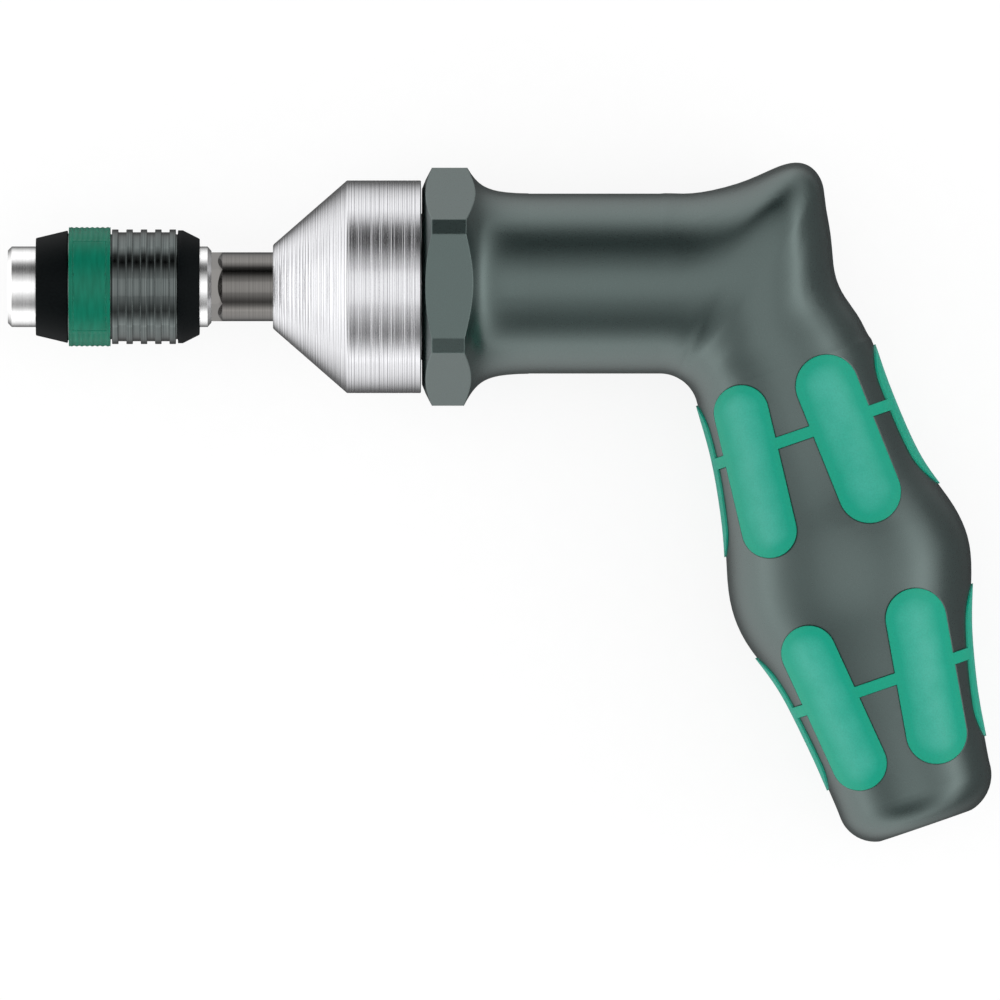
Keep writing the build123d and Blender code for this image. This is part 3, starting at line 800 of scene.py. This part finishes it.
outline = [(NOSE_FRONT, SHAFT_HOLE + 0.15), (NOSE_FRONT, NOSE_TIP_R - 0.1),
           (NOSE_FRONT + 0.07, NOSE_TIP_R + 0.02)]
outline += tool_marks(NOSE_FRONT, NOSE_TIP_R, NOSE_EDGE, NOSE_R, 0.03, 1)
outline += [(NOSE_EDGE - 0.06, NOSE_R - 0.05), (NOSE_EDGE + 0.07, NOSE_R)]
outline += tool_marks(NOSE_EDGE, NOSE_R, NOSE_REAR, NOSE_R, 0.045, 5)
outline += [(NOSE_REAR - 0.12, NOSE_R), (NOSE_REAR, NOSE_R - 0.12), (NOSE_REAR, 11.5)]
outline += [(56.0, 11.5), (56.0, 9.2), (52.0, 9.2), (52.0, 7.0), (44.0, 7.0), (44.0, SHAFT_HOLE),
            (NOSE_FRONT + 0.15, SHAFT_HOLE)]
nose = turn("turned_nose", outline, steps=160)
smooth(nose, 20)
hand_over(nose, "handle", "aluminium", "nose_housing")

# %% [markdown]
# ## The ribbed sleeve
#
# The sleeve is pushed forwards to change a bit, so it has five ribs to grip by.
# They are cut square and their corners are broken by hand with a file. Five rings
# could be joined to a tube, but then each joint would have to be cleaned up. As
# points of one outline the ribs need no joint, and a bevel rounds all the corners at
# once.

# %% Turn the ribbed sleeve
RIB_R, RIB_DEPTH, RIB_WIDTH, RIBS = 9.03, 0.44, 1.0, 5
RIBS_FRONT, RIBS_REAR, NECK_R, SLEEVE_HOLE = 16.4, 26.45, 8.28, 7.9

outline = [(8.0, SLEEVE_HOLE), (8.0, 8.41), (16.15, 8.41), (16.15, NECK_R), (RIBS_FRONT, NECK_R)]
for k in range(RIBS):
    x = RIBS_FRONT + k * (RIBS_REAR - RIBS_FRONT - RIB_WIDTH) / (RIBS - 1)
    outline += [(x, RIB_R - RIB_DEPTH), (x, RIB_R)]
    outline += [(x + RIB_WIDTH, RIB_R), (x + RIB_WIDTH, RIB_R - RIB_DEPTH)]
outline += [(RIBS_REAR, NECK_R), (28.0, NECK_R), (28.0, SLEEVE_HOLE)]
# the outer flanks of the first and the last rib rise straight from the neck
outline.remove((RIBS_FRONT, RIB_R - RIB_DEPTH))
outline.remove((RIBS_REAR, RIB_R - RIB_DEPTH))
sleeve = turn("ribbed_grip_sleeve", outline)
round_edges(sleeve, 0.1)
hand_over(sleeve, "sleeve", "black_coated", "ribbed_sleeve")

# %% [markdown]
# ## The two black cones
#
# A cone at each end of the sleeve closes it. Both are turned, so each is an outline
# again: the front one laps over the coloured ring's seat, the rear one over the neck
# of the sleeve, with a bright notch left between it and the ribs.

# %% Turn the front and rear cones
CHUCK_HOLE = 6.42
front_cone = turn("front_cone", [
    (4.4, CHUCK_HOLE), (4.4, 7.67), (9.25, 8.83), (9.45, 8.83), (9.45, 8.41), (8.0, 8.41),
    (8.0, SLEEVE_HOLE), (6.0, SLEEVE_HOLE), (6.0, CHUCK_HOLE)])
round_edges(front_cone, 0.14)
hand_over(front_cone, "sleeve", "matt_black", "front_collar")

rear_cone = turn("rear_cone", [
    (26.77, NECK_R), (26.77, 8.9), (27.55, 8.9), (30.2, 7.56), (30.2, CHUCK_HOLE),
    (28.5, CHUCK_HOLE), (28.5, SLEEVE_HOLE), (28.0, SLEEVE_HOLE), (28.0, NECK_R)])
round_edges(rear_cone, 0.12)
hand_over(rear_cone, "sleeve", "matt_black", "rear_collar")

# %% [markdown]
# ## The green ring
#
# The coloured ring is moulded with eight shallow waves round it for the fingers.
# On two sides it has a smooth field inside a thin frame. A spin can't make a ring
# that differs from side to side, so it starts as a smooth turned band with a few
# rows of points to each wave, and the rest is done to those points and faces.

# %% Turn the green ring
RING_FRONT, RING_REAR, RING_R, RING_WALL = 9.6, 16.15, 9.41, 1.0
WAVES, WAVE_DEPTH, POINTS = 8, 0.13, 6      # points of the outline to each wave
EDGE_X, EDGE_R = 0.06, 0.08                 # the ring's broken edge, along and towards the axis

pitch = (RING_REAR - RING_FRONT) / WAVES
rows = [(RING_FRONT + pitch * k / POINTS, 0.5 + 0.5 * math.cos(2 * math.pi * k / POINTS))
        for k in range(1, WAVES * POINTS)]
outline = [(RING_FRONT, RING_R - RING_WALL), (RING_FRONT, RING_R - EDGE_R),
           (RING_FRONT + EDGE_X, RING_R)]
outline += [(x, RING_R) for x, deep in rows]
outline += [(RING_REAR - EDGE_X, RING_R), (RING_REAR, RING_R - EDGE_R),
            (RING_REAR, RING_R - RING_WALL)]
green_ring = turn("green_ring", outline)

# %% [markdown]
# The rows of one depth are drawn in together: their points on the outside of the
# ring, and off the two fields, are selected and scaled towards the axis. A field is
# the part of the ring within an angle of straight up or straight down, as the tool
# lies on the table.

# %% Draw in the waves
FIELD_ANGLE = 49.0      # from the middle of a field to its end, in degrees
WAVE_GAP = 2.5          # the waves start this far beyond the field, in degrees


def off_the_field(y, z):
    """Degrees from the middle of the nearer field."""
    return math.degrees(math.atan2(abs(y), abs(z)))


for deep in sorted({round(d, 4) for x, d in rows if d > 0.01}):
    here = [x for x, d in rows if abs(d - deep) < 0.001]
    count = pick(green_ring, "VERT", lambda v: v.co.yz.length > (RING_R - 0.02) * MM
                 and off_the_field(v.co.y, v.co.z) > FIELD_ANGLE + WAVE_GAP
                 and any(abs(v.co.x / MM - x) < 0.01 for x in here))
    shrink = 1 - WAVE_DEPTH * deep / RING_R
    bpy.ops.transform.resize(value=(1, shrink, shrink), center_override=(0, 0, 0))
    bpy.ops.object.mode_set(mode="OBJECT")
    print("wave rows at depth", round(WAVE_DEPTH * deep, 3), "mm:", count, "points")

# %% [markdown]
# The frame round each field is a fine groove with a narrow band inside it. Three
# insets of the field's faces make it: one goes down into the groove, one runs
# along its floor and one comes up again.

# %% Cut the frame of the fields
FIELD_FRONT, FIELD_REAR = 10.1, 15.65
GROOVE_WALL, GROOVE_FLOOR, GROOVE_DEPTH = 0.05, 0.14, 0.08


def in_field(face):
    """Whether a face belongs to one of the two fields."""
    centre = face.center / MM
    return (FIELD_FRONT < centre.x < FIELD_REAR and centre.yz.length > RING_R - 0.1
            and off_the_field(centre.y, centre.z) < FIELD_ANGLE)


pick(green_ring, "FACE", in_field)
groove = ((GROOVE_WALL, -GROOVE_DEPTH), (GROOVE_FLOOR, 0.0), (GROOVE_WALL, GROOVE_DEPTH))
for width, lift in groove:
    bpy.ops.mesh.inset(thickness=width * MM, depth=lift * MM)
bpy.ops.object.mode_set(mode="OBJECT")
inside = sum(face.select for face in green_ring.data.polygons)
print("faces inside the two frames:", inside)
smooth(green_ring)
hand_over(green_ring, "sleeve", "green_plastic", "colour_ring")

# %% [markdown]
# ## The springs
#
# A spring gets shorter as its ends come together, and a solid can't do that by
# itself. So each spring is copied off its solid as a piece of its own. The chuck's
# spring is squeezed against its snap ring when the sleeve is pushed. The main spring
# is squeezed from both ends: by the sliding cam when the clutch slips, and by the
# seat when the torque is set. So it is parted in the middle into two halves.

# %% Copy the springs
def copy_of(node, name):
    """The shape of a solid as a new piece, with its loose triangles joined up."""
    piece = bpy.data.objects.new(name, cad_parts[node].data.copy())
    piece.data.name = name
    bpy.context.scene.collection.objects.link(piece)
    choose(piece)
    pick(piece, "VERT", lambda v: True)
    bpy.ops.mesh.remove_doubles(threshold=WELD * MM)
    bpy.ops.mesh.customdata_custom_splitnormals_clear()
    bpy.ops.object.mode_set(mode="OBJECT")
    smooth(piece)
    return piece


chuck_spring = copy_of("chuck_spring", "soft_chuck_spring")
hand_over(chuck_spring, "drive", "spring_steel", "chuck_spring")
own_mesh(chuck_spring)

# %% [markdown]
# The main spring is cut square across its wire, so that the cut is a plain disc. To
# say on which side of the cut a face lies, the wire is counted in turns: the angle
# round the axis gives the part of a turn, and the place along the axis says which
# turn it is. The wire is half a turn longer at each end than the room allows, and
# its ends are ground flat.

# %% Count the turns of the main spring
CAM_REAR, SEAT_FRONT, WIRE, TURNS = 68.0, 98.0, 2.6, 7
PITCH = (SEAT_FRONT - CAM_REAR - WIRE) / TURNS


def turn_of(point):
    """The turn of the main spring's wire that a point lies on, counted from its front end."""
    share = math.atan2(point.y, -point.z) / (2 * math.pi)
    return share + round((point.x / MM - CAM_REAR - (WIRE - PITCH) / 2) / PITCH - share)


turns = [turn_of(face.center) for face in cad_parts["main_spring"].data.polygons]
print("the wire runs from turn", round(min(turns), 2), "to turn", round(max(turns), 2))

# %% [markdown]
# A plane through the drive axis cuts square across the wire, but it would cut every
# turn, so it only meets the faces near the middle turn. What lies beyond the cut
# goes, and the open end is closed with one face.

# %% Part the main spring
MIDDLE_TURN = 4.0
NEAR_CUT = 0.2          # the plane meets the wire this far to each side of the cut, in turns


def half_of_spring(name, keep, ahead, behind):
    """The turns that pass the test keep, as a piece of its own; ahead and behind are only printed.
    """
    half = copy_of("main_spring", name)
    pick(half, "FACE", lambda face: abs(turn_of(face.center) - MIDDLE_TURN) < NEAR_CUT)
    bpy.ops.mesh.bisect(plane_co=(0, 0, 0), plane_no=(0, 1, 0))
    pick(half, "FACE", lambda face: not keep(turn_of(face.center)))
    bpy.ops.mesh.delete(type="FACE")
    bpy.ops.mesh.select_mode(type="EDGE")
    bpy.ops.mesh.select_non_manifold()
    bpy.ops.mesh.edge_face_add()
    bpy.ops.object.mode_set(mode="OBJECT")
    smooth(half)
    coat(half, "spring_steel")
    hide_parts("main_spring")
    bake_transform(half)
    print(name, "follows", ahead, "to", behind, "with", len(half.data.polygons), "faces")


half_of_spring("main_spring_front_half", lambda at: at < MIDDLE_TURN, "sliding_cam", "handle")
half_of_spring("main_spring_rear_half", lambda at: at > MIDDLE_TURN, "handle", "seat")

# %% Deselect everything
start_fresh()
